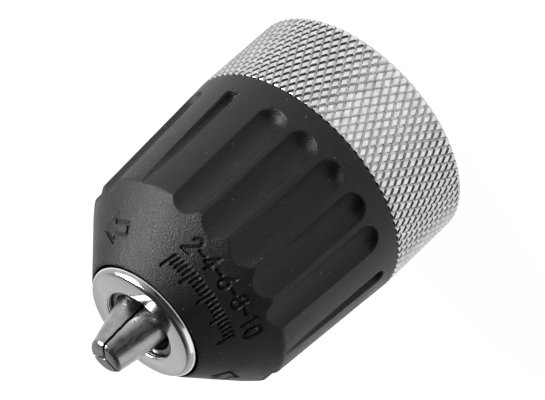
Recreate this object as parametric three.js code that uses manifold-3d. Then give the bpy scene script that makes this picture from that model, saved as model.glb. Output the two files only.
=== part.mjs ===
// Keyless two-sleeve drill chuck, 10 mm capacity, for a 3/8-24 UNF spindle.
// Millimetres. Z is the axis of rotation: z = 0 is the spindle end, +Z points to the nose.
// The jaws are shown closed, at the front of their travel.

import * as THREE from 'three';
import { mergeVertices } from 'three/addons/utils/BufferGeometryUtils.js';
import Module from 'manifold-3d';

const wasm = await Module();
wasm.setup();

// ---------------------------------------------------------------- driving dimensions

const ROUND = 48;                 // facets round a large turned piece
const SMALL_ROUND = 20;           // facets round a jaw or a small hole
const NUT_ROUND = 36;             // facets round the nut, two to each step of its thread
const CLEAR = 0.3;                // clearance between neighbouring pieces
const MARGIN = 1.0;               // how far a cutter reaches past what it cuts

// Jaws: three round bars whose axes meet on the chuck's axis at APEX_Z.
const JAW_ANGLE = THREE.MathUtils.degToRad(15.5);
const JAW_R = 3.1;
const APEX_Z = 59.8;
const JAW_TIP_Z = 60.9;
const JAW_TAIL = 31.96;           // from the apex back to the jaw's tail, along the jaw
const JAW_AZIMUTHS = [7.3, 127.3, 247.3].map(THREE.MathUtils.degToRad);
const GRIP_GAP = 0.35;            // chuck axis to the closed gripping edge
const TIP_CHAMFER = 0.45;
const JAW_TRAVEL = 17.4;          // along the jaw, from closed to 10 mm open

// The conical thread that joins the jaws to the split nut. Its pitch is along the jaw.
const PITCH = 2.0;
const GROOVE_FLOOR = 1.9;         // from the jaw's axis
const GROOVE_MOUTH_W = 1.45;
const GROOVE_FLOOR_W = 0.95;
const FIRST_GROOVE = 9.2;         // from the apex back along the jaw
const RIDGE_TIP = 2.3;
const RIDGE_TIP_W = 0.5;
const RIDGE_ROOT_W = 1.1;
const THREAD_PHASE = 0.4;

// Body, from the spindle end to the nose.
const HUB_R = 11.0;
const HUB_Z = 13.0;
const FLANGE_R = 18.2;
const FLANGE_Z = 22.9;
const SEAT_R = 14.3;              // carries the thrust bearing
const SEAT_Z = 27.3;
const NECK_R = 8.5;               // the split nut closes round it
const SHOULDER_R = 10.8;
const SHOULDER_Z = 36.3;
const NOSE_R = 9.6;
const NOSE_Z = 47.0;
const BODY_Z = 52.2;
const NOSE_CHAMFER = 0.4;
const HUB_CHAMFER = 0.7;
const SOCKET_R = 4.25;            // minor radius of the 3/8-24 UNF thread
const SOCKET_DEPTH = 15.6;
const WEB_Z = 18.0;
const SCREW_HOLE_R = 3.25;
const SHANK_BORE_R = 5.3;

// Thrust bearing between the body's flange and the nut.
const RACE_T = 0.8;
const RACE_IN_R = SEAT_R + CLEAR;
const BALL_R = 1.1;
const BALL_COUNT = 18;
const BALL_PITCH_R = (RACE_IN_R + FLANGE_R) / 2;
const CAGE_T = 1.0;
const REAR_RACE_Z = FLANGE_Z + CLEAR;
const BALL_Z = REAR_RACE_Z + RACE_T + CLEAR + BALL_R;
const FRONT_RACE_Z = BALL_Z + BALL_R + CLEAR;

// Split nut and the steel jacket that holds its halves together.
const NUT_Z = FRONT_RACE_Z + RACE_T + CLEAR;
const NUT_TOP_Z = SHOULDER_Z - CLEAR;
const NUT_R = 15.6;
const THREAD_START = 13;           // pitches back from the apex, clear of the open jaws' plain fronts
const THREAD_TURNS = 4;
const SHELL_R = 17.4;
const DRIVE_KEYS = 3;
const KEY_W = 3.0;
const KEY_DEPTH = 2.6;

// Moulded front sleeve: a long, slightly tapered grip and a cone down to the nose.
const SLEEVE_REAR_Z = 16.7;
const SLEEVE_REAR_R = 21.45;
const CORNER_Z = 41.84;
const CORNER_R = 19.68;
const CONE_Z = 51.7;
const CONE_R = 10.95;
const SLEEVE_BORE_R = 10.7;
const SLEEVE_BEARING_R = SHOULDER_R + CLEAR;
const SLEEVE_BEARING_Z = 45.4;    // rear end of the bearing on the body's shoulder
const SLEEVE_SKIRT_R = FLANGE_R + 0.4;
const SLEEVE_POCKET_Z = 38.9;     // front end of the pocket for the nut's jacket

// Grip flutes: three groups of five, with one narrow groove between the groups.
const GROUPS = 3;
const FLUTES_PER_GROUP = 5;
const FLUTE_STEP = THREE.MathUtils.degToRad(17.1);
const FLUTE_HALF_W = 2.45;
const FLUTE_REAR_DEPTH = 1.5;
const FLUTE_FRONT_DEPTH = 0.95;
const FLUTE_REAR_Z = 20.0;
const GROOVE_R = 1.15;
const GROOVE_AXIS_R = 20.72;
const GROUP_START = THREE.MathUtils.degToRad(-90);

// Knurled rear ring, a steel cup pressed on the body's hub.
const RING_R = 21.5;
const RING_REAR_Z = 0.6;
const RING_FRONT_Z = 16.4;
const RING_WALL_R = 18.6;
const RING_FLOOR_Z = 4.0;
const RING_CHAMFER = 0.8;

// Polished nose cap, pressed over the body's nose.
const CAP_R = 10.4;
const CAP_Z = 53.1;
const CAP_HOLE_R = 6.33;
const CAP_T = 0.6;
const CAP_ROUND = 1.5;

// ---------------------------------------------------------------- materials

const steelBody = new THREE.MeshStandardMaterial({ color: 0x8d8f92, roughness: 0.45, metalness: 1 });
const brightRing = new THREE.MeshStandardMaterial({ color: 0xbdbfc2, roughness: 0.28, metalness: 1 });
const polished = new THREE.MeshStandardMaterial({ color: 0xd4d6d8, roughness: 0.12, metalness: 1 });
const jawSteel = new THREE.MeshStandardMaterial({ color: 0x6f7174, roughness: 0.3, metalness: 1 });
const nutSteel = new THREE.MeshStandardMaterial({ color: 0x7c7a76, roughness: 0.5, metalness: 1 });
const bearingSteel = new THREE.MeshStandardMaterial({ color: 0xb0b3b6, roughness: 0.2, metalness: 1 });
const cageBrass = new THREE.MeshStandardMaterial({ color: 0xb89a4e, roughness: 0.4, metalness: 1 });
const blackPlastic = new THREE.MeshStandardMaterial({ color: 0x171819, roughness: 0.6, metalness: 0 });

// ---------------------------------------------------------------- solids and booleans

/** Makes a solid from a closed geometry: shared corners merged, empty triangles dropped. */
function solid(geometry) {
  const bare = new THREE.BufferGeometry();
  bare.setAttribute('position', geometry.getAttribute('position').clone());
  if (geometry.index) bare.setIndex(geometry.index.clone());
  const merged = mergeVertices(bare, 1e-4);
  const corners = merged.index.array;
  const triVerts = [];
  for (let i = 0; i < corners.length; i += 3) {
    const [a, b, c] = corners.slice(i, i + 3);
    if (a !== b && b !== c && c !== a) triVerts.push(a, b, c);
  }
  return new wasm.Manifold(new wasm.Mesh({
    numProp: 3,
    vertProperties: new Float32Array(merged.getAttribute('position').array),
    triVerts: new Uint32Array(triVerts),
  }));
}

/** Names a solid and gives it its material, as a mesh of the scene. */
function piece(name, body, material) {
  const { vertProperties, triVerts } = body.getMesh();
  const geometry = new THREE.BufferGeometry();
  geometry.setAttribute('position', new THREE.BufferAttribute(vertProperties, 3));
  geometry.setIndex(new THREE.BufferAttribute(triVerts, 1));
  geometry.computeVertexNormals();
  const mesh = new THREE.Mesh(geometry, material);
  mesh.name = name;
  return mesh;
}

/** Turns a closed outline of [radius, z] points about Z. It runs anticlockwise: out, then up. */
function turned(outline, facets = ROUND) {
  const points = [...outline, outline[0]].map(([r, z]) => new THREE.Vector2(r, z));
  return solid(new THREE.LatheGeometry(points, facets).rotateX(Math.PI / 2));
}

/** A flat outline of [x, y] points extruded from z0 to z1. */
function prism(outline, z0, z1) {
  const shape = new THREE.Shape(outline.map(([x, y]) => new THREE.Vector2(x, y)));
  const geometry = new THREE.ExtrudeGeometry(shape, { depth: z1 - z0, bevelEnabled: false });
  return solid(geometry.translate(0, 0, z0));
}

/** A plain ring with a rectangular section. */
function ring(inner, outer, z0, z1) {
  return turned([[inner, z0], [outer, z0], [outer, z1], [inner, z1]]);
}

/** A block centred on the X axis between two radii, turned to an azimuth. */
function keyBlock(inner, outer, width, z0, z1, azimuth) {
  const geometry = new THREE.BoxGeometry(outer - inner, width, z1 - z0);
  geometry.translate((inner + outer) / 2, 0, (z0 + z1) / 2);
  return solid(geometry.rotateZ(azimuth));
}

/** Azimuths spread evenly round the chuck. */
function around(count, start = 0) {
  return Array.from({ length: count }, (_, i) => start + (i * 2 * Math.PI) / count);
}

/** Moves jaw coordinates (x outwards, z along the jaw from the apex) into the chuck's frame. */
function alongJaw(geometry) {
  return geometry.rotateY(-JAW_ANGLE).translate(0, 0, APEX_Z);
}

/** A round bar on the jaw's axis, between two distances back from the apex. */
function jawBar(radius, front, back) {
  const bar = new THREE.CylinderGeometry(radius, radius, back - front, SMALL_ROUND);
  bar.rotateX(Math.PI / 2).translate(0, 0, -(front + back) / 2);
  return alongJaw(bar);
}

/** Radius of the jaw's axis at a height. */
function jawOffset(z) {
  return (APEX_Z - z) * Math.tan(JAW_ANGLE);
}

// ---------------------------------------------------------------- body and fixed rings

function chuckBody() {
  let body = turned([
    [SOCKET_R, HUB_CHAMFER], [SOCKET_R + HUB_CHAMFER, 0], [HUB_R - HUB_CHAMFER, 0],
    [HUB_R, HUB_CHAMFER],
    [HUB_R, HUB_Z], [FLANGE_R, HUB_Z], [FLANGE_R, FLANGE_Z], [SEAT_R, FLANGE_Z],
    [SEAT_R, SEAT_Z], [NECK_R, SEAT_Z], [NECK_R, SHOULDER_Z], [SHOULDER_R, SHOULDER_Z],
    [SHOULDER_R, NOSE_Z], [NOSE_R, NOSE_Z], [NOSE_R, BODY_Z - NOSE_CHAMFER],
    [NOSE_R - NOSE_CHAMFER, BODY_Z],
    [SHANK_BORE_R, BODY_Z], [SHANK_BORE_R, WEB_Z], [SCREW_HOLE_R, WEB_Z],
    [SCREW_HOLE_R, SOCKET_DEPTH], [SOCKET_R, SOCKET_DEPTH],
  ]);
  for (const azimuth of JAW_AZIMUTHS) {
    const bore = jawBar(JAW_R + CLEAR, 0, JAW_TAIL + JAW_TRAVEL + MARGIN);
    body = body.subtract(solid(bore.rotateZ(azimuth)));
  }
  return piece('chuck_body', body, steelBody);
}

function rearRing() {
  return piece('rear_ring', turned([
    [HUB_R + CLEAR, RING_REAR_Z], [RING_R - RING_CHAMFER, RING_REAR_Z],
    [RING_R, RING_REAR_Z + RING_CHAMFER], [RING_R, RING_FRONT_Z],
    [RING_WALL_R, RING_FRONT_Z], [RING_WALL_R, RING_FLOOR_Z], [HUB_R + CLEAR, RING_FLOOR_Z],
  ]), brightRing);
}

function noseCap() {
  const rim = [];
  const arcSteps = 3;
  for (let i = 0; i <= arcSteps; i += 1) {
    const turn = (i / arcSteps) * (Math.PI / 2);
    rim.push([CAP_R - CAP_ROUND * (1 - Math.cos(turn)), CAP_Z - CAP_ROUND * (1 - Math.sin(turn))]);
  }
  const inside = NOSE_R + CLEAR;
  return piece('nose_cap', turned([
    [inside, NOSE_Z + CLEAR], [CAP_R, NOSE_Z + CLEAR], ...rim,
    [CAP_HOLE_R, CAP_Z], [CAP_HOLE_R, CAP_Z - CAP_T], [inside, CAP_Z - CAP_T],
  ]), polished);
}

// ---------------------------------------------------------------- jaws

/** The 120 degree wedge that a closed jaw fills, cut square at the tips. */
function jawWedge() {
  const reach = 30;
  const halfGap = CLEAR / 2;
  const side = Math.PI / 3;
  const edgeY = (GRIP_GAP * Math.sin(side) - halfGap) / Math.cos(side);
  const far = [GRIP_GAP + reach * Math.cos(side), edgeY + reach * Math.sin(side)];
  return prism([[GRIP_GAP, -edgeY], [far[0], -far[1]], far, [GRIP_GAP, edgeY]], 0, JAW_TIP_Z);
}

/** A turned envelope that bevels the outer edge of the closed tips. */
function tipBevel() {
  const tipR = JAW_R / Math.cos(JAW_ANGLE) + jawOffset(JAW_TIP_Z) - TIP_CHAMFER;
  const reach = 10;
  return turned([[0, 0], [tipR + reach, 0], [tipR + reach, JAW_TIP_Z - reach], [tipR, JAW_TIP_Z],
    [0, JAW_TIP_Z]], SMALL_ROUND);
}

/** One thread groove across the jaw's outer side, at a distance back from the apex. */
function jawGroove(back) {
  const slope = (GROOVE_MOUTH_W - GROOVE_FLOOR_W) / 2 / (JAW_R - GROOVE_FLOOR);
  const mouthHalf = GROOVE_MOUTH_W / 2 + slope * MARGIN;
  const floorHalf = GROOVE_FLOOR_W / 2;
  const shape = new THREE.Shape([
    new THREE.Vector2(GROOVE_FLOOR, -floorHalf), new THREE.Vector2(JAW_R + MARGIN, -mouthHalf),
    new THREE.Vector2(JAW_R + MARGIN, mouthHalf), new THREE.Vector2(GROOVE_FLOOR, floorHalf),
  ]);
  const width = 3 * JAW_R;
  const bar = new THREE.ExtrudeGeometry(shape, { depth: width, bevelEnabled: false });
  bar.translate(0, 0, -width / 2).rotateX(Math.PI / 2).translate(0, 0, -back);
  return solid(alongJaw(bar));
}

/** Where the conical thread passes an azimuth, as a distance back from the apex below a pitch. */
function threadStart(azimuth) {
  const turns = THREAD_PHASE - azimuth / (2 * Math.PI);
  return PITCH * (turns - Math.floor(turns));
}

function jaw(number, azimuth) {
  const pastTip = JAW_TIP_Z - APEX_Z + 2 * JAW_R;
  let body = solid(jawBar(JAW_R, -pastTip, JAW_TAIL)).intersect(jawWedge()).intersect(tipBevel());
  const first = Math.ceil((FIRST_GROOVE - threadStart(azimuth)) / PITCH);
  for (let k = first; threadStart(azimuth) + k * PITCH < JAW_TAIL + PITCH; k += 1) {
    body = body.subtract(jawGroove(threadStart(azimuth) + k * PITCH));
  }
  const mesh = piece(`jaw_${number}`, body, jawSteel);
  mesh.rotation.z = azimuth;
  return mesh;
}

// ---------------------------------------------------------------- nut and its jacket

/** The nut's thread: a straight tapered bar wound into a conical helix that the jaws follow. */
function nutThread() {
  const root = JAW_R + 2 * CLEAR;
  const bar = new THREE.BoxGeometry(1, 1, 1, (THREAD_TURNS * NUT_ROUND) / 2, 1, 1);
  const at = bar.getAttribute('position');
  for (let i = 0; i < at.count; i += 1) {
    const azimuth = (at.getX(i) + 0.5) * THREAD_TURNS * 2 * Math.PI;
    const isRoot = at.getY(i) > 0;
    const width = isRoot ? RIDGE_ROOT_W : RIDGE_TIP_W;
    const turn = THREAD_START + THREAD_TURNS + THREAD_PHASE - azimuth / (2 * Math.PI);
    const back = PITCH * turn + at.getZ(i) * width;
    const out = isRoot ? root : RIDGE_TIP;
    const radius = back * Math.sin(JAW_ANGLE) + out * Math.cos(JAW_ANGLE);
    const z = APEX_Z - back * Math.cos(JAW_ANGLE) + out * Math.sin(JAW_ANGLE);
    at.setXYZ(i, radius * Math.cos(azimuth), radius * Math.sin(azimuth), z);
  }
  return solid(bar);
}

function nutHalves() {
  const bore = (z) => jawOffset(z) + (JAW_R + CLEAR) / Math.cos(JAW_ANGLE);
  const envelope = ring(MARGIN, NUT_R, NUT_Z, NUT_TOP_Z);
  const sleeve = turned([
    [bore(NUT_Z), NUT_Z], [NUT_R, NUT_Z], [NUT_R, NUT_TOP_Z], [bore(NUT_TOP_Z), NUT_TOP_Z],
  ], NUT_ROUND);
  const nut = sleeve.add(nutThread().intersect(envelope));
  const reach = NUT_R + MARGIN;
  const front = prism([[-reach, CLEAR / 2], [reach, CLEAR / 2], [reach, reach], [-reach, reach]],
    0, APEX_Z);
  const back = prism([[-reach, -reach], [reach, -reach], [reach, -CLEAR / 2], [-reach, -CLEAR / 2]],
    0, APEX_Z);
  return [piece('nut_half_a', nut.intersect(front), nutSteel),
    piece('nut_half_b', nut.intersect(back), nutSteel)];
}

function nutShell() {
  let shell = ring(NUT_R + CLEAR, SHELL_R, NUT_Z, NUT_TOP_Z);
  for (const azimuth of around(DRIVE_KEYS)) {
    shell = shell.subtract(keyBlock(NUT_R - MARGIN, SHELL_R + MARGIN,
      KEY_W + 2 * CLEAR, NUT_TOP_Z - KEY_DEPTH - CLEAR, NUT_TOP_Z + MARGIN, azimuth));
  }
  return piece('nut_shell', shell, nutSteel);
}

// ---------------------------------------------------------------- thrust bearing

function ballCage() {
  let cage = ring(RACE_IN_R, FLANGE_R, BALL_Z - CAGE_T / 2, BALL_Z + CAGE_T / 2);
  for (const azimuth of around(BALL_COUNT)) {
    const pocket = new THREE.CylinderGeometry(BALL_R + CLEAR, BALL_R + CLEAR, 3 * CAGE_T, 8);
    pocket.rotateX(Math.PI / 2).translate(BALL_PITCH_R, 0, BALL_Z).rotateZ(azimuth);
    cage = cage.subtract(solid(pocket));
  }
  return piece('ball_cage', cage, cageBrass);
}

function balls() {
  return around(BALL_COUNT).map((azimuth, i) => {
    const name = `ball_${String(i + 1).padStart(2, '0')}`;
    const ball = piece(name, solid(new THREE.IcosahedronGeometry(BALL_R, 1)), bearingSteel);
    ball.position.set(BALL_PITCH_R * Math.cos(azimuth), BALL_PITCH_R * Math.sin(azimuth), BALL_Z);
    return ball;
  });
}

function races() {
  return [
    piece('rear_race', ring(RACE_IN_R, FLANGE_R, REAR_RACE_Z, REAR_RACE_Z + RACE_T), bearingSteel),
    piece('front_race', ring(RACE_IN_R, FLANGE_R, FRONT_RACE_Z, FRONT_RACE_Z + RACE_T),
      bearingSteel),
  ];
}

// ---------------------------------------------------------------- front sleeve

/** Outer radius of the sleeve's tapered grip at a height. */
function gripRadius(z) {
  const t = (z - SLEEVE_REAR_Z) / (CORNER_Z - SLEEVE_REAR_Z);
  return SLEEVE_REAR_R + t * (CORNER_R - SLEEVE_REAR_R);
}

/** A round-ended cutter, oval in section, that lies along the grip and runs out through the cone. */
function fluteCutter() {
  const length = 30;
  const rearR = gripRadius(FLUTE_REAR_Z);
  const frontR = CORNER_R - FLUTE_FRONT_DEPTH + FLUTE_REAR_DEPTH;
  const taper = Math.atan2(rearR - frontR, CORNER_Z - FLUTE_REAR_Z);
  const cutter = new THREE.CapsuleGeometry(FLUTE_HALF_W, length, 2, 12);
  cutter.rotateX(Math.PI / 2).scale(FLUTE_REAR_DEPTH / FLUTE_HALF_W, 1, 1);
  cutter.translate(0, 0, length / 2).rotateY(-taper);
  return cutter.translate(rearR, 0, FLUTE_REAR_Z + FLUTE_HALF_W);
}

/** A narrow ball-ended groove parallel to the chuck's axis. */
function grooveCutter() {
  const length = 30;
  const cutter = new THREE.CapsuleGeometry(GROOVE_R, length, 2, 8);
  cutter.rotateX(Math.PI / 2).translate(0, 0, length / 2);
  return cutter.translate(GROOVE_AXIS_R, 0, FLUTE_REAR_Z + GROOVE_R);
}

function frontSleeve() {
  const keyInner = NUT_R + 2 * CLEAR;
  const pocketR = SHELL_R + CLEAR;
  let sleeve = turned([
    [SLEEVE_SKIRT_R, SLEEVE_REAR_Z], [SLEEVE_REAR_R, SLEEVE_REAR_Z], [CORNER_R, CORNER_Z],
    [CONE_R, CONE_Z], [SLEEVE_BORE_R, CONE_Z], [SLEEVE_BORE_R, NOSE_Z + 2 * CLEAR],
    [SLEEVE_BEARING_R, NOSE_Z + CLEAR], [SLEEVE_BEARING_R, SLEEVE_BEARING_Z],
    [pocketR, SLEEVE_POCKET_Z],
    [pocketR, NUT_Z + CLEAR], [SLEEVE_SKIRT_R, NUT_Z],
  ]);
  for (const azimuth of around(DRIVE_KEYS)) {
    sleeve = sleeve.add(keyBlock(keyInner, pocketR + CLEAR, KEY_W, NUT_TOP_Z - KEY_DEPTH,
      SLEEVE_POCKET_Z, azimuth));
  }
  const middle = (FLUTES_PER_GROUP - 1) / 2;
  for (const group of around(GROUPS, GROUP_START)) {
    for (let i = -middle; i <= middle; i += 1) {
      sleeve = sleeve.subtract(solid(fluteCutter().rotateZ(group + i * FLUTE_STEP)));
    }
    sleeve = sleeve.subtract(solid(grooveCutter().rotateZ(group + Math.PI / GROUPS)));
  }
  return piece('front_sleeve', sleeve, blackPlastic);
}

// ---------------------------------------------------------------- assembly

const chuck = new THREE.Group();
chuck.add(chuckBody(), rearRing(), noseCap(), frontSleeve());
chuck.add(...JAW_AZIMUTHS.map((azimuth, i) => jaw(i + 1, azimuth)));
chuck.add(...nutHalves(), nutShell(), ...races(), ballCage(), ...balls());

export default chuck;
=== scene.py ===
"""Keyless drill chuck: fine meshes, materials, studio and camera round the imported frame.

Shapes are worked out in millimetres, +Z to the nose, and become metres in build_mesh() and, for
the knurled ring, in make_ring().
"""

import math

import bmesh
import bpy
import numpy as np
from mathutils import Matrix, Vector


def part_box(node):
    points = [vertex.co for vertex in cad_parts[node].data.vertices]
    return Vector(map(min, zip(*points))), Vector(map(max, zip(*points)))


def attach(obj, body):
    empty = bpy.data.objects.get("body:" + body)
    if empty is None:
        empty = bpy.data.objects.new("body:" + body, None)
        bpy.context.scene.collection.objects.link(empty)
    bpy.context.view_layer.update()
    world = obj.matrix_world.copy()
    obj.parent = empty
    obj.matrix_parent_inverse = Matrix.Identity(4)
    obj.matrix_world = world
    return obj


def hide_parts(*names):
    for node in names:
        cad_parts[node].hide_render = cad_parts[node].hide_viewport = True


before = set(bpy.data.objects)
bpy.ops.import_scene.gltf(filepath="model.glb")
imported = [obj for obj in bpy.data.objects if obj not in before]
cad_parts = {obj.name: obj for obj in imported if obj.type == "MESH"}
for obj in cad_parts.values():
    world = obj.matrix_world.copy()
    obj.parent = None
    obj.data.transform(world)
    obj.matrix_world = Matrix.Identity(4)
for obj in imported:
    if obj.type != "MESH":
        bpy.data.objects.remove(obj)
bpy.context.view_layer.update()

MM = 0.001
TAU = 2 * math.pi
FINE = 144                      # facets round a turned piece
AXIS_R = 0.001                  # a turned solid's outline stops this short of the axis


def corners(node):
    """Lowest and highest corner of a CAD node, in millimetres."""
    low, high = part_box(node)
    return [v / MM for v in low], [v / MM for v in high]


# ---------------------------------------------------------------- sizes taken from the frame

(_, _, RING_REAR_Z), (RING_R, _, RING_FRONT_Z) = corners("rear_ring")
(_, _, SLEEVE_REAR_Z), (SLEEVE_REAR_R, _, CONE_Z) = corners("front_sleeve")
(_, _, CAP_REAR_Z), (CAP_R, _, CAP_Z) = corners("nose_cap")
(_, _, _), (FLANGE_R, _, BODY_Z) = corners("chuck_body")
NUT_Z = corners("nut_half_a")[0][2]
(_, _, _), (SHELL_R, _, _) = corners("nut_shell")
TIP_Z = corners("jaw_1")[1][2]

# ---------------------------------------------------------------- sizes of the fine shapes

# Sleeve: a tapered grip, a cone, three groups of wide flutes and a narrow groove between groups.
CORNER_Z = 41.84                # where the grip meets the cone
CORNER_R = 19.68
CORNER_SOFTNESS = 0.3
CONE_R = 10.95                  # at the cone's front end
CONE_SLANT = math.hypot(1, (CORNER_R - CONE_R) / (CONE_Z - CORNER_Z))     # length along it per height
GROUP_AZIMUTHS = [math.radians(a) for a in (-90, 30, 150)]
GROOVE_AZIMUTHS = [g + math.pi / 3 for g in GROUP_AZIMUTHS]
FLUTE_STEP = math.radians(17.1)
FLUTES_PER_GROUP = 5
FLUTE_AZIMUTHS = [g + (i - (FLUTES_PER_GROUP - 1) / 2) * FLUTE_STEP
                  for g in GROUP_AZIMUTHS for i in range(FLUTES_PER_GROUP)]
FLUTE_HALF_W = 2.48
FLUTE_REAR_DEPTH = 1.7
FLUTE_FRONT_DEPTH = 1.08
FLUTE_REAR_Z = 20.0             # rear end of the flutes and of the grooves
FLUTE_LEAST_DEPTH = 0.5
GROOVE_R = 1.15
GROOVE_AXIS_R = 20.72
EDGE_SOFTNESS = 0.16
SLOT_ARC_SHARE = 0.985          # share of a slot's half width that its arc covers
SLOT_WALL_SLOPE = 3             # climb of its wall past the arc

# Jaws: round bars on axes that lean in to the apex.
LEAN = math.radians(15.5)
JAW_R = 3.1
APEX_Z = 59.8
JAW_TAIL = 31.96
JAW_AZIMUTHS = [math.radians(a) for a in (7.3, 127.3, 247.3)]
GRIP_GAP = 0.35                 # chuck axis to the closed gripping edge
JAW_GAP = 0.4                   # between neighbouring jaws when closed
JAW_EDGE = 0.06                 # softness of the jaws' ground edges
TIP_CHAMFER = 0.3
PITCH = 2.0                     # of the thread, along the jaw
THREAD_PHASE = 0.4              # in turns
FIRST_GROOVE = 9.2              # back from the apex
GROOVE_FLOOR = 1.72             # from the jaw's axis
GROOVE_MOUTH_W = 1.7
GROOVE_FLOOR_W = 1.2
TAIL_BEVEL = 0.25

# Knurl: diamonds round the rear ring.
KNURL_TEETH = 88
KNURL_LENGTH = 2.57
KNURL_DEPTH = 0.3
KNURL_BEVEL = 0.3               # at the ring's rear edge
KNURL_FRONT_BEVEL = 0.06
KNURL_SLOPE = 0.21              # share of a diamond's side taken by the groove's flank


# ---------------------------------------------------------------- mesh helpers

def shade(mesh, sharp_angle):
    """Smooth shading. Edges sharper than sharp_angle, in degrees, stay crisp."""
    mesh.shade_smooth()
    mesh.set_sharp_from_angle(angle=math.radians(sharp_angle))


def add_object(name, mesh, sharp_angle):
    """Puts a mesh in the scene as a shaded object."""
    shade(mesh, sharp_angle)
    piece = bpy.data.objects.new(name, mesh)
    bpy.context.scene.collection.objects.link(piece)
    return piece


def build_mesh(name, points, faces, sharp_angle=30):
    """A mesh object from points in millimetres and a list of faces."""
    mesh = bpy.data.meshes.new(name)
    mesh.from_pydata((np.reshape(points, (-1, 3)) * MM).tolist(), [], faces)
    mesh.update()
    return add_object(name, mesh, sharp_angle)


def loop_faces(rows, columns, closed=True):
    """Quads of a grid whose rows are closed loops. closed also joins the last row to the first."""
    row = np.arange(rows if closed else rows - 1)[:, None]
    column = np.arange(columns)[None, :]
    row_up, column_on = (row + 1) % rows, (column + 1) % columns
    corners4 = (row * columns + column, row * columns + column_on,
                row_up * columns + column_on, row_up * columns + column)
    return np.stack(np.broadcast_arrays(*corners4), axis=-1).reshape(-1, 4).tolist()


def rounded(outline, radius, steps=3):
    """A closed outline of (r, z) points with its corners rounded by up to radius."""
    result = []
    count = len(outline)
    for i, corner in enumerate(outline):
        corner = np.array(corner, float)
        before = np.array(outline[i - 1], float) - corner
        after = np.array(outline[(i + 1) % count], float) - corner
        reach = min(radius, 0.4 * np.linalg.norm(before), 0.4 * np.linalg.norm(after))
        start = corner + before / np.linalg.norm(before) * reach
        end = corner + after / np.linalg.norm(after) * reach
        for k in range(steps + 1):
            t = k / steps
            result.append((1 - t) ** 2 * start + 2 * t * (1 - t) * corner + t ** 2 * end)
    return np.array(result)


def turned_points(outline, columns=FINE):
    """Points of an (r, z) outline turned about Z."""
    outline = np.asarray(outline, float)
    angle = np.arange(columns) * TAU / columns
    r, z = outline[:, 0, None], outline[:, 1, None]
    return np.stack([r * np.cos(angle), r * np.sin(angle), z + 0 * angle], axis=-1)


def turned(name, outline, columns=FINE):
    """A turned piece. The outline runs anticlockwise: out, then up."""
    return build_mesh(name, turned_points(outline, columns), loop_faces(len(outline), columns))


def smooth_min(a, b, width):
    """The smaller of two fields, blended over a width."""
    share = np.clip(0.5 + 0.5 * (b - a) / width, 0, 1)
    return b * (1 - share) + a * share - width * share * (1 - share)


def cut(piece, cutter):
    """Cuts one mesh object out of another and removes the cutter."""
    modifier = piece.modifiers.new("cut", "BOOLEAN")
    modifier.object = cutter
    modifier.operation = "DIFFERENCE"
    modifier.solver = "EXACT"
    bpy.context.view_layer.update()
    bpy.context.view_layer.objects.active = piece
    bpy.ops.object.modifier_apply(modifier=modifier.name)
    bpy.data.objects.remove(cutter)


def spread(breaks, steps):
    """Values from breaks[0] to the last break, with the given number of steps in each stretch."""
    stretches = [np.linspace(a, b, n, endpoint=False) for a, b, n in zip(breaks, breaks[1:], steps)]
    return np.concatenate([*stretches, [breaks[-1]]])


# ---------------------------------------------------------------- marks on the cone

def line(*points):
    """A stroke through the points, as segments."""
    return [(points[i], points[i + 1]) for i in range(len(points) - 1)]


def arc(cx, cy, rx, ry, start, end, steps=12):
    """An oval arc, as segments. Angles are in degrees."""
    angles = np.radians(np.linspace(start, end, steps + 1))
    return line(*[(cx + rx * math.cos(a), cy + ry * math.sin(a)) for a in angles])


# Each numeral stands on y = 0, is 1 high and about 0.56 wide, and is centred on x = 0.
NUMERALS = {
    "0": arc(0, 0.72, 0.26, 0.28, 0, 180) + arc(0, 0.28, 0.26, 0.28, 180, 360)
    + line((-0.26, 0.72), (-0.26, 0.28)) + line((0.26, 0.72), (0.26, 0.28)),
    "1": line((-0.14, 0.84), (0.06, 1.0), (0.06, 0)),
    "2": arc(0, 0.72, 0.26, 0.28, 170, -35) + line((0.213, 0.56), (-0.27, 0), (0.28, 0)),
    "4": line((0.1, 0), (0.1, 1.0), (-0.28, 0.3), (0.28, 0.3)),
    "6": arc(0, 0.3, 0.27, 0.3, 0, 360, 18) + line((-0.26, 0.36), (0.14, 1.0)),
    "8": arc(0, 0.28, 0.27, 0.28, 0, 360, 18) + arc(0, 0.78, 0.22, 0.22, 0, 360, 16),
    "-": line((-0.2, 0.5), (0.2, 0.5)),
}
SCALE_MARKS = "2-4-6-8-10"
NUMERAL_HEIGHT = 2.75
NUMERAL_ADVANCE = 2.12
DASH_ADVANCE = 1.62
NUMERALS_AT = (math.radians(259.8), 45.1)       # azimuth and height of the row's middle
TICKS_AT = (math.radians(262.5), 48.3)
TICK_COUNT = 21
TICK_ADVANCE = 0.8
LONG_TICK = 2.5
SHORT_TICK = 1.4
ARROWS_AT = [(math.radians(343.3), 47.5), (math.radians(181.3), 47.5)]
MARKS_HALF_SIZE = (11, 3)                       # half the patch that one group of marks may cover
STROKE = 0.54
STROKE_DEPTH = 0.36
STROKE_SOFTNESS = 0.16


def scale_strokes():
    """Strokes of the number scale, centred on the origin."""
    strokes = []
    advances = [DASH_ADVANCE if mark == "-" else NUMERAL_ADVANCE for mark in SCALE_MARKS]
    x = -sum(advances) / 2
    for mark, advance in zip(SCALE_MARKS, advances):
        for (ax, ay), (bx, by) in NUMERALS[mark]:
            middle = x + advance / 2
            strokes.append(((middle + ax * NUMERAL_HEIGHT, (ay - 0.5) * NUMERAL_HEIGHT),
                            (middle + bx * NUMERAL_HEIGHT, (by - 0.5) * NUMERAL_HEIGHT)))
        x += advance
    return strokes


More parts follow.
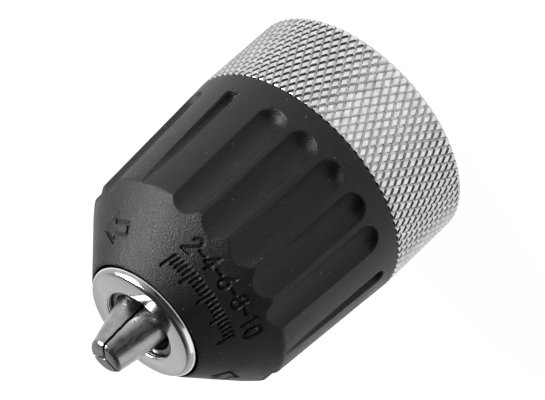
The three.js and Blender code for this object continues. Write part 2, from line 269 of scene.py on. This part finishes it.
def tick_strokes():
    """A row of tick marks, a long one at every fifth place, with their tops in line."""
    strokes = []
    for i in range(TICK_COUNT):
        x = (i - (TICK_COUNT - 1) / 2) * TICK_ADVANCE
        length = LONG_TICK if i % 5 == 0 else SHORT_TICK
        strokes += line((x, LONG_TICK / 2), (x, LONG_TICK / 2 - length))
    return strokes


def arrow_strokes():
    """The outline of a plain block arrow that points along -x."""
    tip, neck, tail, half_head, half_shaft = -3.1, -0.2, 2.9, 2.2, 0.95
    return line((tip, 0), (neck, half_head), (neck, half_shaft), (tail, half_shaft),
                (tail, -half_shaft), (neck, -half_shaft), (neck, -half_head), (tip, 0))


def stroke_distance(x, y, strokes):
    """Distance from each point to the nearest stroke."""
    nearest = np.full(x.shape, np.inf)
    for (ax, ay), (bx, by) in strokes:
        dx, dy = bx - ax, by - ay
        along = np.clip(((x - ax) * dx + (y - ay) * dy) / (dx * dx + dy * dy), 0, 1)
        nearest = np.minimum(nearest, np.hypot(x - ax - along * dx, y - ay - along * dy))
    return nearest


def mark_depth(angle, z, radius):
    """How deep the marks are sunk into the cone at each point."""
    half_wide, half_high = MARKS_HALF_SIZE
    depth = np.zeros_like(radius)
    groups = [(NUMERALS_AT, scale_strokes()), (TICKS_AT, tick_strokes())]
    groups += [(place, arrow_strokes()) for place in ARROWS_AT]
    for (azimuth, height), strokes in groups:
        turn = (angle - azimuth + math.pi) % TAU - math.pi
        x, y = -turn * radius, (height - z) * CONE_SLANT
        near = (np.abs(x) < half_wide) & (np.abs(y) < half_high)
        distance = stroke_distance(x[near], y[near], strokes)
        t = np.clip((distance - STROKE / 2 + STROKE_SOFTNESS / 2) / STROKE_SOFTNESS, 0, 1)
        depth[near] = np.maximum(depth[near], STROKE_DEPTH * (1 - t * t * (3 - 2 * t)))
    return depth


# ---------------------------------------------------------------- front sleeve

def grip_radius(z):
    """Outer radius of the tapered grip."""
    share = (z - SLEEVE_REAR_Z) / (CORNER_Z - SLEEVE_REAR_Z)
    return SLEEVE_REAR_R + share * (CORNER_R - SLEEVE_REAR_R)


def cone_radius(z):
    """Outer radius of the cone."""
    return CONE_R + (CONE_Z - z) / (CONE_Z - CORNER_Z) * (CORNER_R - CONE_R)


def nearest_turn(angle, azimuths):
    """Signed turn from the nearest of the azimuths."""
    turns = np.stack([(angle - a + math.pi) % TAU - math.pi for a in azimuths])
    return np.take_along_axis(turns, np.abs(turns).argmin(axis=0)[None], axis=0)[0]


def slot_surface(across, z, half_width, rear_z, floor, depth):
    """Radius of a round-ended slot's surface: an arc across, and a steep wall past the arc."""
    past_end = np.minimum(z - (rear_z + half_width), 0)
    reach = np.hypot(across, past_end)
    arc_edge = SLOT_ARC_SHARE * half_width
    inside = np.minimum(reach, arc_edge)
    arc_radius = (half_width ** 2 + depth ** 2) / (2 * depth)
    rise = arc_radius - np.sqrt(arc_radius ** 2 - inside ** 2)
    return floor + rise + SLOT_WALL_SLOPE * np.maximum(reach - arc_edge, 0)


def sleeve_angles(columns):
    """Azimuths of the sleeve's columns, closer together at the flutes' edges, grooves and marks."""
    samples = 7200
    edge_turn = FLUTE_HALF_W / 20.5         # a flute's middle to its edge, at the grip's mean radius
    sample = np.linspace(0, TAU, samples, endpoint=False)
    at_edge = np.abs(np.abs(nearest_turn(sample, FLUTE_AZIMUTHS)) - edge_turn) < 0.02
    at_groove = np.abs(nearest_turn(sample, GROOVE_AZIMUTHS)) < 0.07
    at_scale = np.abs(nearest_turn(sample, [NUMERALS_AT[0]])) < math.radians(37)
    at_arrow = np.abs(nearest_turn(sample, [place[0] for place in ARROWS_AT])) < math.radians(15)
    density = 1 + 1.6 * at_edge + 2.0 * at_groove + 1.2 * at_scale + 0.8 * at_arrow
    total = np.concatenate([[0], np.cumsum(density)])
    shares = np.arange(columns) * total[-1] / columns
    return np.interp(shares, total, np.linspace(0, TAU, samples + 1))


def outer_sleeve(angle, z):
    """Outer radius of the sleeve: grip and cone, less the flutes, grooves and marks."""
    base = smooth_min(grip_radius(z), cone_radius(z), CORNER_SOFTNESS)
    run = (z - FLUTE_REAR_Z) / (CORNER_Z - FLUTE_REAR_Z)
    rear_floor = grip_radius(FLUTE_REAR_Z) - FLUTE_REAR_DEPTH
    floor = rear_floor + run * (CORNER_R - FLUTE_FRONT_DEPTH - rear_floor)
    mid_wall_r = floor + 0.8
    across = np.sin(nearest_turn(angle, FLUTE_AZIMUTHS)) * mid_wall_r
    depth = np.clip(grip_radius(z) - floor, FLUTE_LEAST_DEPTH, FLUTE_REAR_DEPTH)
    flutes = slot_surface(across, z, FLUTE_HALF_W, FLUTE_REAR_Z, floor, depth)
    across = np.sin(nearest_turn(angle, GROOVE_AZIMUTHS)) * GROOVE_AXIS_R
    groove_floor = GROOVE_AXIS_R - GROOVE_R + 0 * z
    grooves = slot_surface(across, z, GROOVE_R, FLUTE_REAR_Z, groove_floor, GROOVE_R)
    radius = smooth_min(base, flutes, EDGE_SOFTNESS)
    radius = smooth_min(radius, grooves, EDGE_SOFTNESS / 2)
    on_cone = z > CORNER_Z + 0.5
    return radius - np.where(on_cone, CONE_SLANT * mark_depth(angle, z, base), 0)


def make_sleeve():
    """The moulded grip sleeve, outside in full detail and inside as the frame has it."""
    columns = 640
    edge = 0.2                              # length of the rounding at each end
    rear_edge_depth, front_edge_depth = 0.12, 0.15
    rear_z = SLEEVE_REAR_Z - 0.15           # a narrower gap to the ring than the CAD solid has
    # The rows are close together at the flutes' rear ends, at the corner and at the marks.
    heights = spread([rear_z, rear_z + 0.3, 19.4, 23.2, 40.6, 43.4, 43.8, 50.0, CONE_Z],
                     [2, 3, 26, 12, 22, 2, 54, 8])
    angle = sleeve_angles(columns)
    grid_angle, grid_z = np.meshgrid(angle, heights)
    radius = outer_sleeve(grid_angle, grid_z)
    radius -= rear_edge_depth * np.clip((rear_z + edge - grid_z) / edge, 0, 1) ** 2
    radius -= front_edge_depth * np.clip((grid_z - CONE_Z + edge) / edge, 0, 1) ** 2
    outside = np.stack([radius * np.cos(grid_angle), radius * np.sin(grid_angle), grid_z], axis=-1)
    mouth, seat = 10.7, 11.1
    pocket = SHELL_R + 0.3
    bore = FLANGE_R + 0.4
    inner = rounded([(mouth, CONE_Z), (mouth, 47.6), (seat, 47.3), (seat, 45.4), (pocket, 38.9),
                     (pocket, NUT_Z + 0.3), (bore, NUT_Z), (bore, rear_z)], 0.15, 1)
    inner_r, inner_z = inner[:, 0, None], inner[:, 1, None]
    inside = np.stack([inner_r * np.cos(angle), inner_r * np.sin(angle), inner_z + 0 * angle], axis=-1)
    points = np.concatenate([outside, inside])
    return build_mesh("grip_sleeve", points, loop_faces(len(points), columns), sharp_angle=50)


# ---------------------------------------------------------------- knurled rear ring

def knurl_cell_points(a0, b0):
    """Corners of one diamond's flanks and flat top, with lattice coordinates from (a0, b0)."""
    stops = [0, KNURL_SLOPE, 1 - KNURL_SLOPE, 1]
    tooth = TAU * RING_R / KNURL_TEETH
    points = []
    for fa in stops:
        for fb in stops:
            a, b = a0 + fa, b0 + fb
            rise = min(1, min(fa, 1 - fa, fb, 1 - fb) / KNURL_SLOPE)
            points.append((tooth * (a + b) / 2, KNURL_LENGTH * (a - b) / 2, rise * KNURL_DEPTH))
    return points


def knurl_cell_faces():
    """Faces of one diamond, its four corner patches split along the hips."""
    def at(i, j):
        return 4 * i + j
    faces = []
    for i in range(3):
        for j in range(3):
            quad = [at(i, j), at(i + 1, j), at(i + 1, j + 1), at(i, j + 1)]
            if i == 1 or j == 1:
                faces.append(quad)
            elif i == j:
                faces += [[quad[0], quad[1], quad[2]], [quad[0], quad[2], quad[3]]]
            else:
                faces += [[quad[0], quad[1], quad[3]], [quad[1], quad[2], quad[3]]]
    return faces


def knurl_sheet():
    """The knurl rolled out flat: x round the ring, y along it, z the rise above the grooves."""
    sheet = bmesh.new()
    rows = math.ceil((RING_FRONT_Z - RING_REAR_Z) / KNURL_LENGTH) + 2
    first = math.floor(RING_REAR_Z / KNURL_LENGTH) - 1
    for row in range(2 * first, 2 * (first + rows)):
        for tooth in range(KNURL_TEETH):
            a0 = tooth + math.ceil(row / 2)
            b0 = tooth - math.floor(row / 2)
            made = [sheet.verts.new(p) for p in knurl_cell_points(a0, b0)]
            for face in knurl_cell_faces():
                sheet.faces.new([made[i] for i in face])
    bmesh.ops.remove_doubles(sheet, verts=sheet.verts, dist=1e-4)
    for y in [RING_REAR_Z, RING_REAR_Z + KNURL_BEVEL, RING_FRONT_Z - KNURL_FRONT_BEVEL, RING_FRONT_Z]:
        everything = sheet.verts[:] + sheet.edges[:] + sheet.faces[:]
        bmesh.ops.bisect_plane(sheet, geom=everything, dist=1e-5, plane_co=(0, y, 0),
                               plane_no=(0, 1, 0), clear_outer=y == RING_FRONT_Z,
                               clear_inner=y == RING_REAR_Z)
    return sheet


def wrap_knurl(sheet):
    """Rolls the flat sheet round the ring and bevels its two ends."""
    for vert in sheet.verts:
        x, y, rise = vert.co
        rear_bevel_r = RING_R - KNURL_BEVEL + (y - RING_REAR_Z)
        front_bevel_r = RING_R + (RING_FRONT_Z - KNURL_FRONT_BEVEL - y)
        radius = min(RING_R - KNURL_DEPTH + rise, rear_bevel_r, front_bevel_r)
        angle = x / RING_R
        vert.co = (radius * math.cos(angle), radius * math.sin(angle), y)
    bmesh.ops.remove_doubles(sheet, verts=sheet.verts, dist=1e-3)


def open_loop(sheet, z):
    """Edges of the open rim at a height."""
    return [edge for edge in sheet.edges
            if edge.is_boundary and all(abs(vert.co.z - z) < 1e-3 for vert in edge.verts)]


def extend_rim(sheet, edges, radius, z):
    """Extrudes an open rim to a new radius and height, and returns its new edges."""
    made = bmesh.ops.extrude_edge_only(sheet, edges=edges)["geom"]
    for vert in (g for g in made if isinstance(g, bmesh.types.BMVert)):
        scale = radius / math.hypot(vert.co.x, vert.co.y)
        vert.co = (vert.co.x * scale, vert.co.y * scale, z)
    return [g for g in made if isinstance(g, bmesh.types.BMEdge) and g.is_boundary]


def make_ring():
    """The knurled ring: a diamond lattice wrapped round a steel cup."""
    inner_wall, floor_z, bore = 18.6, 4.0, 11.3
    sheet = knurl_sheet()
    wrap_knurl(sheet)
    front = open_loop(sheet, RING_FRONT_Z)
    for radius, z in [(RING_R - 0.9, RING_FRONT_Z), (inner_wall + 0.2, RING_FRONT_Z),
                      (inner_wall, RING_FRONT_Z - 0.2), (inner_wall, floor_z + 0.6),
                      (inner_wall - 0.6, floor_z), (bore + 0.2, floor_z), (bore, floor_z - 0.2)]:
        front = extend_rim(sheet, front, radius, z)
    rear = open_loop(sheet, RING_REAR_Z)
    for radius, z in [(RING_R - 1.2, RING_REAR_Z), (bore + 0.3, RING_REAR_Z),
                      (bore, RING_REAR_Z + 0.3)]:
        rear = extend_rim(sheet, rear, radius, z)
    bmesh.ops.bridge_loops(sheet, edges=front + rear)
    bmesh.ops.recalc_face_normals(sheet, faces=sheet.faces)
    bmesh.ops.scale(sheet, vec=(MM, MM, MM), verts=sheet.verts)
    mesh = bpy.data.meshes.new("knurled_ring")
    sheet.to_mesh(mesh)
    sheet.free()
    return add_object("knurled_ring", mesh, 18)


# ---------------------------------------------------------------- nose cap and body

def make_cap():
    """The polished cap: a slightly crowned face, a rounded outer rim and a rolled inner edge."""
    hole, inside = 6.33, 9.9                # radii of the nose hole and of the cap's skirt inside
    round_in, round_down = 1.0, 1.4         # the outer rim's rounding, across and along the axis
    inner_round = 0.3
    crown = 0.12
    thickness = 0.6
    outline = [(inside, CAP_REAR_Z), (CAP_R, CAP_REAR_Z)]
    for turn in np.radians(np.linspace(0, 84, 17)):
        outline.append((CAP_R - round_in * (1 - math.cos(turn)),
                        CAP_Z - crown - round_down * (1 - math.sin(turn))))
    face_r, face_z = outline[-1]
    for share in np.linspace(0.1, 0.9, 9):
        outline.append((face_r + share * (hole + inner_round - face_r),
                        face_z + (CAP_Z - face_z) * (1 - (1 - share) ** 2)))
    for turn in np.radians(np.linspace(90, 180, 7)):
        outline.append((hole + inner_round * (1 + math.cos(turn)),
                        CAP_Z - inner_round * (1 - math.sin(turn))))
    outline += [(hole, CAP_Z - thickness), (inside, CAP_Z - thickness)]
    return turned("polished_cap", outline, 192)


def socket_thread(points, depth, length):
    """Sinks a 24 tpi thread into the points of the spindle socket's wall, faded out at its ends."""
    thread_pitch = 25.4 / 24
    x, y, z = points[..., 0], points[..., 1], points[..., 2]
    radius = np.hypot(x, y)
    phase = (z / thread_pitch - np.arctan2(y, x) / TAU) % 1
    fade = np.clip(np.minimum(z - 0.5, length - z) / 0.5, 0, 1)
    sunk = radius + depth * fade * (1 - np.abs(2 * phase - 1))
    return np.stack([x / radius * sunk, y / radius * sunk, z], axis=-1)


def make_body():
    """The steel core, with the spindle socket's thread and the three jaw bores."""
    hub, flange_z, seat, neck, shoulder, nose = 11.0, 22.9, 14.3, 8.5, 10.8, 9.6
    socket, depth, screw, bore = 4.25, 15.6, 3.25, 5.3
    thread_depth, thread_step = 0.5, 0.12
    jaw_bore, jaw_bore_length = JAW_R + 0.25, 50.4
    columns = 96
    outside = rounded([
        (hub - 0.6, 0), (hub, 0.6), (hub, 13.0), (FLANGE_R, 13.0), (FLANGE_R, flange_z),
        (seat, flange_z), (seat, 27.3), (neck, 27.3), (neck, 36.3), (shoulder, 36.3),
        (shoulder, 47.0), (nose, 47.0), (nose, BODY_Z - 0.4), (nose - 0.4, BODY_Z),
        (bore, BODY_Z), (bore, 18.0), (screw, 18.0), (screw, depth), (socket, depth),
    ], 0.12, 2)
    wall = [(socket, z) for z in np.arange(depth - 0.3, 0.9, -thread_step)]
    mouth = [(socket, 0.7), (socket + 0.35, 0.35), (socket + 0.7, 0.0)]
    points = turned_points(np.concatenate([outside, wall, mouth]), columns)
    threaded = slice(len(outside), len(outside) + len(wall))
    points[threaded] = socket_thread(points[threaded], thread_depth, depth)
    body = build_mesh("steel_core", points, loop_faces(len(points), columns))
    for azimuth in JAW_AZIMUTHS:
        cutter = turned("bore_cutter", [(AXIS_R, -jaw_bore_length), (jaw_bore, -jaw_bore_length),
                                        (jaw_bore, 0), (AXIS_R, 0)], 64)
        place = Matrix.Rotation(azimuth, 4, "Z") @ Matrix.Translation((0, 0, APEX_Z * MM))
        cutter.matrix_world = place @ Matrix.Rotation(-LEAN, 4, "Y")
        cut(body, cutter)
    shade(body.data, 30)
    return body


# ---------------------------------------------------------------- jaws

def groove_limit(back, start):
    """Height of the jaw's outer side above its axis, with the thread grooves in it."""
    from_middle = np.abs((back - start + PITCH / 2) % PITCH - PITCH / 2)
    slope = (JAW_R - GROOVE_FLOOR) / ((GROOVE_MOUTH_W - GROOVE_FLOOR_W) / 2)
    wall = GROOVE_FLOOR + slope * np.maximum(from_middle - GROOVE_FLOOR_W / 2, 0)
    first = start + math.ceil((FIRST_GROOVE - start) / PITCH) * PITCH
    return np.where(back > first - PITCH / 2, wall, JAW_R + 1)


def jaw_field(out, side, back, start):
    """Below zero inside the jaw. out and side are across its axis, back is along it."""
    radial = out * math.cos(LEAN) + back * math.sin(LEAN)
    height = APEX_Z + out * math.sin(LEAN) - back * math.cos(LEAN)
    tip_edge = 0.07
    bar = np.hypot(out, side) - JAW_R
    wedge = np.abs(side) * 0.5 - radial * math.sin(math.pi / 3) + JAW_GAP / 2
    grip = GRIP_GAP - radial
    field = -smooth_min(-bar, -wedge, JAW_EDGE)
    field = -smooth_min(-field, -grip, JAW_EDGE)
    field = -smooth_min(-field, groove_limit(back, start) - out, JAW_EDGE)
    tip_radius = JAW_R / math.cos(LEAN) + (APEX_Z - TIP_Z) * math.tan(LEAN) - TIP_CHAMFER
    bevel = (np.hypot(radial, side) - tip_radius - (TIP_Z - height)) * math.sqrt(0.5)
    field = -smooth_min(-field, -bevel, JAW_EDGE)
    return field + np.maximum(tip_edge - (TIP_Z - height), 0)


def jaw_stations(start):
    """Distances back along the jaw of its cross-sections, close together where it has detail."""
    tip_back = (APEX_Z - TIP_Z) / math.cos(LEAN)
    front = tip_back + spread([0, 0.1, 0.7, 13.0], [3, 8, 40])
    # In each pitch, from a groove's middle: its floor, its wall, the land and the next groove's wall.
    offsets = np.array([0, 0.56, 0.6, 0.68, 0.77, 0.85, 0.9, 1.1, 1.15, 1.23, 1.32, 1.4, 1.44])
    first_turn = math.floor((front[-1] - start) / PITCH)
    last_turn = math.ceil((JAW_TAIL - start) / PITCH)
    threaded = [start + turn * PITCH + offsets for turn in range(first_turn, last_turn)]
    rear = np.concatenate(threaded)
    # A known fault: the ones up to front[-2] are out of order, and double the surface back there.
    rear = rear[((rear <= front[-2]) | (rear > front[-1])) & (rear < JAW_TAIL - 0.3)]
    return np.concatenate([front[:-1], rear, [JAW_TAIL - TAIL_BEVEL, JAW_TAIL]])


def make_jaw(number, azimuth):
    """One jaw, as cross-sections: level with the chuck at the tip, square to the jaw at the rear."""
    rays = 128
    bisections = 26
    swing_length = 9                        # over which the cross-sections swing
    turns = THREAD_PHASE - azimuth / TAU
    start = PITCH * (turns - math.floor(turns))
    stations = jaw_stations(start)[:, None]
    tilt = LEAN * np.clip(1 - (stations - stations[0]) / swing_length, 0, 1)
    inner = np.maximum(-JAW_R, (GRIP_GAP - stations * math.sin(LEAN)) / math.cos(LEAN))
    centre = (inner + JAW_R) / 2
    angle = np.arange(rays)[None, :] * TAU / rays
    low = np.zeros((len(stations), rays))
    high = np.full_like(low, 2 * JAW_R)

    def place(reach):
        level = centre + reach * np.cos(angle)
        return level * np.cos(tilt), reach * np.sin(angle), stations + level * np.sin(tilt)

    for _ in range(bisections):
        middle = (low + high) / 2
        inside = jaw_field(*place(middle), start) < 0
        low = np.where(inside, middle, low)
        high = np.where(inside, high, middle)
    bevel = np.where(stations == JAW_TAIL, TAIL_BEVEL, 0)
    out, side, back = place(np.maximum(low - bevel, 0.05))
    radial = out * math.cos(LEAN) + back * math.sin(LEAN)
    height = APEX_Z + out * math.sin(LEAN) - back * math.cos(LEAN)
    x = radial * math.cos(azimuth) - side * math.sin(azimuth)
    y = radial * math.sin(azimuth) + side * math.cos(azimuth)
    points = np.stack([x, y, height], axis=-1)[::-1]
    faces = loop_faces(len(points), rays, closed=False)
    last_row = (len(points) - 1) * rays
    faces.append(list(range(rays))[::-1])
    faces.append([last_row + i for i in range(rays)])
    return build_mesh(f"ground_jaw_{number}", points, faces, sharp_angle=24)


# ---------------------------------------------------------------- materials

MIX_SHARE, MIX_FIRST, MIX_SECOND, MIX_RESULT = 0, 6, 7, 2      # a colour Mix node's sockets


def new_material(name, metallic):
    """A material, its node tree and its Principled shader."""
    material = bpy.data.materials.new(name)
    material.use_nodes = True
    shader = material.node_tree.nodes["Principled BSDF"]
    shader.inputs["Metallic"].default_value = metallic
    return material, material.node_tree, shader


def noise(tree, scale, detail=4, stretch=(1, 1, 1)):
    """Noise in the object's own metres, stretched along its axes."""
    place = tree.nodes.new("ShaderNodeTexCoord")
    mapping = tree.nodes.new("ShaderNodeMapping")
    mapping.inputs["Scale"].default_value = stretch
    texture = tree.nodes.new("ShaderNodeTexNoise")
    texture.inputs["Scale"].default_value = scale
    texture.inputs["Detail"].default_value = detail
    tree.links.new(place.outputs["Object"], mapping.inputs["Vector"])
    tree.links.new(mapping.outputs["Vector"], texture.inputs["Vector"])
    return texture.outputs["Fac"]


def remap(tree, value, low, high, to_low, to_high):
    """Maps a value from one range to another, clamped."""
    node = tree.nodes.new("ShaderNodeMapRange")
    limits = {"From Min": low, "From Max": high, "To Min": to_low, "To Max": to_high}
    for name, limit in limits.items():
        node.inputs[name].default_value = limit
    tree.links.new(value, node.inputs["Value"])
    return node.outputs["Result"]


def mix_colours(tree, share, first, second):
    """A colour between two, by a share. The first may be a socket."""
    node = tree.nodes.new("ShaderNodeMix")
    node.data_type = "RGBA"
    if isinstance(first, tuple):
        node.inputs[MIX_FIRST].default_value = (*first, 1)
    else:
        tree.links.new(first, node.inputs[MIX_FIRST])
    node.inputs[MIX_SECOND].default_value = (*second, 1)
    tree.links.new(share, node.inputs[MIX_SHARE])
    return node.outputs[MIX_RESULT]


def bump(tree, shader, height, strength, distance):
    """Adds a bump of the given height field."""
    node = tree.nodes.new("ShaderNodeBump")
    node.inputs["Strength"].default_value = strength
    node.inputs["Distance"].default_value = distance
    tree.links.new(height, node.inputs["Height"])
    tree.links.new(node.outputs["Normal"], shader.inputs["Normal"])


def black_plastic():
    """Matt black moulding with a fine grain, faint mottling and a few pale specks."""
    dark, less_dark, speck = (0.0075, 0.0077, 0.008), (0.0115, 0.0118, 0.0122), (0.16, 0.16, 0.16)
    material, tree, shader = new_material("black_plastic", 0)
    grain = noise(tree, 3800, 3)
    mottle = noise(tree, 260, 5)
    specks = remap(tree, noise(tree, 3100, 0), 0.83, 0.87, 0, 1)
    base = mix_colours(tree, remap(tree, mottle, 0.35, 0.65, 0, 1), dark, less_dark)
    tree.links.new(mix_colours(tree, specks, base, speck), shader.inputs["Base Color"])
    tree.links.new(remap(tree, mottle, 0.3, 0.7, 0.38, 0.48), shader.inputs["Roughness"])
    shader.inputs["Specular IOR Level"].default_value = 0.27
    bump(tree, shader, grain, 1.0, 0.00012)
    return material


def knurled_steel():
    """Bright plated steel with faint blotches and an uneven gloss."""
    dull, bright = (0.58, 0.58, 0.58), (0.74, 0.74, 0.74)
    material, tree, shader = new_material("knurled_steel", 1)
    shader.inputs["Specular Tint"].default_value = (0.45, 0.45, 0.45, 1)
    base = mix_colours(tree, remap(tree, noise(tree, 900, 5), 0.35, 0.65, 0, 1), dull, bright)
    tree.links.new(base, shader.inputs["Base Color"])
    tree.links.new(remap(tree, noise(tree, 2600, 3), 0.3, 0.7, 0.12, 0.26), shader.inputs["Roughness"])
    bump(tree, shader, noise(tree, 4200, 3), 0.4, 0.00005)
    return material


def polished_steel():
    """Satin polished steel with an uneven gloss and fine marks round its rim."""
    material, tree, shader = new_material("polished_steel", 1)
    shader.inputs["Base Color"].default_value = (0.72, 0.72, 0.72, 1)
    tree.links.new(remap(tree, noise(tree, 700, 4), 0.35, 0.65, 0.1, 0.2), shader.inputs["Roughness"])
    bump(tree, shader, noise(tree, 1800, 4, (1, 1, 6)), 0.06, 0.00003)
    return material


def ground_metal(name, base, roughness):
    """Ground metal with fine scratches that run along Z."""
    material, tree, shader = new_material(name, 1)
    scratches = noise(tree, 2400, 4, (1, 1, 0.08))
    dark = tuple(0.8 * c for c in base)
    light = tuple(1.15 * c for c in base)
    shading = mix_colours(tree, remap(tree, noise(tree, 500, 4), 0.3, 0.7, 0, 1), dark, light)
    tree.links.new(shading, shader.inputs["Base Color"])
    rough = remap(tree, scratches, 0.3, 0.7, roughness * 0.75, roughness * 1.35)
    tree.links.new(rough, shader.inputs["Roughness"])
    bump(tree, shader, scratches, 0.12, 0.00003)
    return material


def paint(piece, material):
    """Gives an object one material all over, in place of what it has."""
    piece.data.materials.clear()
    piece.data.materials.append(material)


# ---------------------------------------------------------------- the object

plastic = black_plastic()
ring_steel = knurled_steel()
cap_steel = polished_steel()
jaw_steel = ground_metal("jaw_steel", (0.33, 0.33, 0.34), 0.26)
core_steel = ground_metal("core_steel", (0.26, 0.26, 0.27), 0.36)
nut_steel = ground_metal("nut_steel", (0.36, 0.35, 0.34), 0.4)
bearing_steel = ground_metal("bearing_steel", (0.7, 0.7, 0.71), 0.16)
cage_brass = ground_metal("cage_brass", (0.62, 0.45, 0.2), 0.32)


def add(piece, body, node, material):
    """Makes a fine piece stand for a CAD node."""
    paint(piece, material)
    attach(piece, body)
    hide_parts(node)


add(make_sleeve(), "sleeve", "front_sleeve", plastic)
add(make_ring(), "body", "rear_ring", ring_steel)
add(make_cap(), "body", "nose_cap", cap_steel)
add(make_body(), "body", "chuck_body", core_steel)
for number, azimuth in enumerate(JAW_AZIMUTHS, 1):
    add(make_jaw(number, azimuth), f"jaw_{number}", f"jaw_{number}", jaw_steel)

# The hidden pieces keep their CAD meshes.
for node_name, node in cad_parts.items():
    if node_name.startswith(("ball_0", "ball_1")) or node_name.endswith("_race"):
        paint(node, bearing_steel)
    elif node_name.startswith("nut_"):
        paint(node, nut_steel)
    elif node_name == "ball_cage":
        paint(node, cage_brass)


# ---------------------------------------------------------------- studio and camera

def make_floor():
    """A round floor that gives off nearly all of its own white, so that shadows on it stay faint."""
    radius, top, bottom = 420, -0.4, -20
    floor = turned("studio_floor", [(AXIS_R, bottom), (radius, bottom), (radius, top),
                                    (AXIS_R, top)], 96)
    material, _, shader = new_material("studio_white", 0)
    shader.inputs["Base Color"].default_value = (0.12, 0.12, 0.12, 1)
    shader.inputs["Roughness"].default_value = 0.9
    shader.inputs["Specular IOR Level"].default_value = 0
    shader.inputs["Emission Color"].default_value = (1, 1, 1, 1)
    shader.inputs["Emission Strength"].default_value = 0.96
    paint(floor, material)


def area_light(name, place, size, power):
    """A softbox at a point in millimetres, aimed at the object. Its size is in metres."""
    middle_z = 30
    light = bpy.data.lights.new(name, "AREA")
    light.shape = "RECTANGLE"
    light.size, light.size_y = size
    light.energy = power
    holder = bpy.data.objects.new(name, light)
    holder.location = Vector(place) * MM
    aim = Vector((0, 0, middle_z * MM)) - holder.location
    holder.rotation_euler = aim.to_track_quat("-Z", "Y").to_euler()
    bpy.context.scene.collection.objects.link(holder)


def make_world():
    """A room with pale walls, dark overhead and on the -Y side, for the steel to reflect."""
    wall_strength, least_strength = 0.5, 0.03
    world = bpy.data.worlds.new("room")
    world.use_nodes = True
    tree = world.node_tree
    place = tree.nodes.new("ShaderNodeTexCoord")
    split = tree.nodes.new("ShaderNodeSeparateXYZ")
    tree.links.new(place.outputs["Generated"], split.inputs["Vector"])
    walls = remap(tree, split.outputs["Y"], -0.85, -0.5, 0, 1)
    low = remap(tree, split.outputs["Z"], 0.3, 0.75, wall_strength, 0)
    product = tree.nodes.new("ShaderNodeMath")
    product.operation = "MULTIPLY_ADD"
    tree.links.new(walls, product.inputs[0])
    tree.links.new(low, product.inputs[1])
    product.inputs[2].default_value = least_strength
    tree.links.new(product.outputs["Value"], tree.nodes["Background"].inputs["Strength"])
    tree.nodes["Background"].inputs["Color"].default_value = (1, 1, 1, 1)
    bpy.context.scene.world = world


def make_camera():
    """A long lens that looks down on the chuck, rolled so that the nose points low left."""
    azimuth, elevation, roll = (math.radians(a) for a in (7.23, 28.91, -132.48))
    distance = 439.36
    aim = Vector((0.47, 0.06, 21.01)) * MM
    back = Vector((math.sin(azimuth) * math.cos(elevation),
                   -math.cos(azimuth) * math.cos(elevation),
                   math.sin(elevation)))
    camera = bpy.data.objects.new("camera", bpy.data.cameras.new("camera"))
    camera.data.sensor_width = 36
    camera.data.lens = 183.4
    camera.data.clip_start = 0.01
    camera.location = aim + back * distance * MM
    level = (-back).to_track_quat("-Z", "Y")
    turn = Matrix.Rotation(roll, 3, "Z").to_quaternion()
    camera.rotation_mode = "QUATERNION"
    camera.rotation_quaternion = level @ turn
    bpy.context.scene.collection.objects.link(camera)
    bpy.context.scene.camera = camera


make_floor()
make_world()
area_light("key_box", (360, 10, 330), (0.26, 0.26), 4.4)
area_light("back_box", (60, 520, 420), (0.5, 0.3), 0.12)
area_light("fill_box", (-400, -140, 70), (0.4, 0.3), 0.25)
make_camera()
bpy.context.scene.view_settings.view_transform = "Standard"
